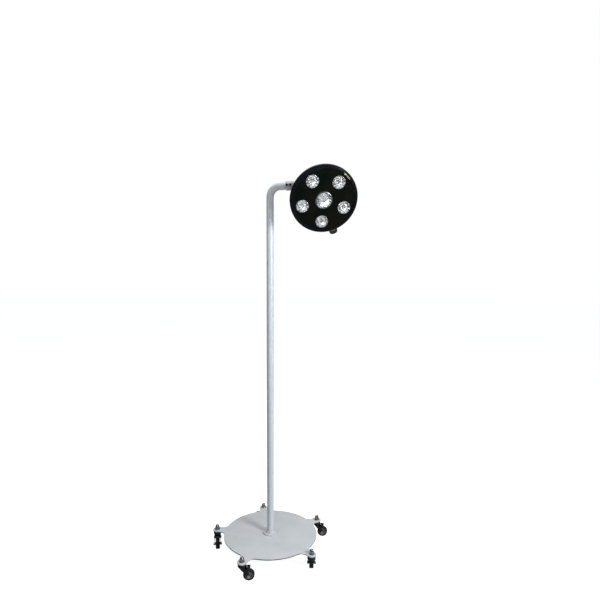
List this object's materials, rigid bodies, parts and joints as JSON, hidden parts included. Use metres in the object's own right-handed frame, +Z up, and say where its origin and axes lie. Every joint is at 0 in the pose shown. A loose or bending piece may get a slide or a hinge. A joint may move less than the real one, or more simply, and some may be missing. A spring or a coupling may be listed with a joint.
{
  "type": "mobile surgical light",
  "caption": "Mobile surgical light: a round plate on braked swivel casters, a bent one-piece pole, and a flat round LED head on a pan and tilt joint.",
  "frame": {"origin": "on the floor, on the pole's centre line", "axes": "+Z up along the pole, +X along the horizontal arm towards the head joint"},
  "size_m": [0.6697, 0.5369, 1.7496],
  "materials": {
    "plate_paint": "light grey satin powder coat",
    "pole_paint": "light grey satin powder coat",
    "arm_paint": "grey satin powder coat",
    "sleeve_metal": "mid grey satin paint on steel",
    "caster_black": "black satin e-coat on pressed steel",
    "stem_steel": "dark zinc plate",
    "nut_steel": "dark polished nickel plate",
    "screw_steel": "zinc plate",
    "black_screw": "black oxide",
    "tyre_rubber": "matt black thermoplastic rubber",
    "hub_plastic": "mid grey moulded nylon",
    "pedal_black": "black satin paint on pressed steel",
    "gland_black": "black nylon",
    "cable_black": "black cable jacket",
    "washer_white": "natural nylon",
    "shell_black": "black satin powder coat on cast aluminium",
    "bezel_black": "black satin moulding",
    "panel_black": "glossy black moulding",
    "lens_clear": "clear moulded acrylic with small facets",
    "reflector_silver": "metallised",
    "ring_grey": "satin grey moulding",
    "board_white": "white solder mask on aluminium",
    "chip_yellow": "phosphor dome on a ceramic base",
    "board_green": "green solder mask",
    "dimmer_metal": "plated case",
    "dimmer_ring_grey": "satin anodised",
    "knob_black": "black satin moulding with grip flutes",
    "badge_blank": "plain pale olive foil, no lettering"
  },
  "bodies": {
    "base": {"base_plate": "plate_paint", "pole_flange": "plate_paint", "flange_screws": "screw_steel", "pole_tube": "pole_paint", "cord_gland": "gland_black", "pole_lead": "cable_black", "cap_nuts": "nut_steel", "nut_washers": "screw_steel", "caster_stems": "stem_steel", "arm_sleeve": "sleeve_metal", "sleeve_screws": "black_screw", "head_arm": "arm_paint"},
    "caster_1_swivel": {"caster_1_fork": "caster_black", "caster_1_axle": "screw_steel"},
    "caster_1_wheel": {"caster_1_hub": "hub_plastic", "caster_1_tyre": "tyre_rubber"},
    "caster_1_brake": {"caster_1_pedal": "pedal_black"},
    "caster_2_swivel": {"caster_2_fork": "caster_black", "caster_2_axle": "screw_steel"},
    "caster_2_wheel": {"caster_2_hub": "hub_plastic", "caster_2_tyre": "tyre_rubber"},
    "caster_2_brake": {"caster_2_pedal": "pedal_black"},
    "caster_3_swivel": {"caster_3_fork": "caster_black", "caster_3_axle": "screw_steel"},
    "caster_3_wheel": {"caster_3_hub": "hub_plastic", "caster_3_tyre": "tyre_rubber"},
    "caster_3_brake": {"caster_3_pedal": "pedal_black"},
    "caster_4_swivel": {"caster_4_fork": "caster_black", "caster_4_axle": "screw_steel"},
    "caster_4_wheel": {"caster_4_hub": "hub_plastic", "caster_4_tyre": "tyre_rubber"},
    "caster_4_brake": {"caster_4_pedal": "pedal_black"},
    "caster_5_swivel": {"caster_5_fork": "caster_black", "caster_5_axle": "screw_steel"},
    "caster_5_wheel": {"caster_5_hub": "hub_plastic", "caster_5_tyre": "tyre_rubber"},
    "caster_5_brake": {"caster_5_pedal": "pedal_black"},
    "pan_joint": {"pan_spindle": "screw_steel", "pan_washers": "washer_white", "spindle_cap": "nut_steel", "tilt_fork": "arm_paint", "tilt_bolt": "nut_steel", "tilt_nut": "nut_steel"},
    "head": {"head_bracket": "shell_black", "bracket_screws": "screw_steel", "rear_housing": "shell_black", "housing_screws": "screw_steel", "front_bezel": "bezel_black", "front_panel": "panel_black", "outer_lenses": "lens_clear", "centre_lens": "lens_clear", "centre_ring": "ring_grey", "reflectors": "reflector_silver", "led_board": "board_white", "led_chips": "chip_yellow", "driver_board": "board_green", "dimmer_pot": "dimmer_metal", "dimmer_ring": "dimmer_ring_grey", "badge_strip": "badge_blank"},
    "dimmer": {"dimmer_knob": "knob_black"}
  },
  "joints": [
    {"name": "caster_1_turn", "type": "hinge", "parent": "base", "child": "caster_1_swivel", "pos_m": [0.17799, 0.19768, 0.069], "axis": [0, 0, 1], "continuous": true},
    {"name": "caster_1_roll", "type": "hinge", "parent": "caster_1_swivel", "child": "caster_1_wheel", "pos_m": [0.20753, 0.20289, 0.025], "axis": [-0.1736, 0.9848, 0], "continuous": true},
    {"name": "caster_1_lock", "type": "hinge", "parent": "caster_1_swivel", "child": "caster_1_brake", "pos_m": [0.19079, 0.19993, 0.053], "axis": [-0.1736, 0.9848, 0], "range_deg": [0, 10]},
    {"name": "caster_2_turn", "type": "hinge", "parent": "base", "child": "caster_2_swivel", "pos_m": [-0.133, 0.23036, 0.069], "axis": [0, 0, 1], "continuous": true},
    {"name": "caster_2_roll", "type": "hinge", "parent": "caster_2_swivel", "child": "caster_2_wheel", "pos_m": [-0.15757, 0.21316, 0.025], "axis": [0.5736, -0.8192, 0], "continuous": true},
    {"name": "caster_2_lock", "type": "hinge", "parent": "caster_2_swivel", "child": "caster_2_brake", "pos_m": [-0.14365, 0.22291, 0.053], "axis": [0.5736, -0.8192, 0], "range_deg": [0, 10]},
    {"name": "caster_3_turn", "type": "hinge", "parent": "base", "child": "caster_3_swivel", "pos_m": [-0.26019, -0.0553, 0.069], "axis": [0, 0, 1], "continuous": true},
    {"name": "caster_3_roll", "type": "hinge", "parent": "caster_3_swivel", "child": "caster_3_wheel", "pos_m": [-0.24564, -0.08154, 0.025], "axis": [0.8746, 0.4848, 0], "continuous": true},
    {"name": "caster_3_lock", "type": "hinge", "parent": "caster_3_swivel", "child": "caster_3_brake", "pos_m": [-0.25389, -0.06667, 0.053], "axis": [0.8746, 0.4848, 0], "range_deg": [0, 10]},
    {"name": "caster_4_turn", "type": "hinge", "parent": "base", "child": "caster_4_swivel", "pos_m": [-0.0278, -0.26454, 0.069], "axis": [0, 0, 1], "continuous": true},
    {"name": "caster_4_roll", "type": "hinge", "parent": "caster_4_swivel", "child": "caster_4_wheel", "pos_m": [0.00039, -0.25428, 0.025], "axis": [-0.342, 0.9397, 0], "continuous": true},
    {"name": "caster_4_lock", "type": "hinge", "parent": "caster_4_swivel", "child": "caster_4_brake", "pos_m": [-0.01559, -0.2601, 0.053], "axis": [-0.342, 0.9397, 0], "range_deg": [0, 10]},
    {"name": "caster_5_turn", "type": "hinge", "parent": "base", "child": "caster_5_swivel", "pos_m": [0.243, -0.10819, 0.069], "axis": [0, 0, 1], "continuous": true},
    {"name": "caster_5_roll", "type": "hinge", "parent": "caster_5_swivel", "child": "caster_5_wheel", "pos_m": [0.23473, -0.07935, 0.025], "axis": [-0.9613, -0.2756, 0], "continuous": true},
    {"name": "caster_5_lock", "type": "hinge", "parent": "caster_5_swivel", "child": "caster_5_brake", "pos_m": [0.23942, -0.0957, 0.053], "axis": [-0.9613, -0.2756, 0], "range_deg": [0, 10]},
    {"name": "head_pan", "type": "hinge", "parent": "base", "child": "pan_joint", "pos_m": [0.233, 0, 1.701], "axis": [0, 0, 1], "range_deg": [-25, 155]},
    {"name": "head_tilt", "type": "hinge", "parent": "pan_joint", "child": "head", "pos_m": [0.233, 0, 1.661], "axis": [0.9063, 0.4226, 0], "range_deg": [-31.5, 58.5]},
    {"name": "dimmer_turn", "type": "hinge", "parent": "head", "child": "dimmer", "pos_m": [0.25174, -0.04018, 1.63383], "axis": [0.1428, 0.5992, -0.7877], "range_deg": [0, 300]}
  ]
}
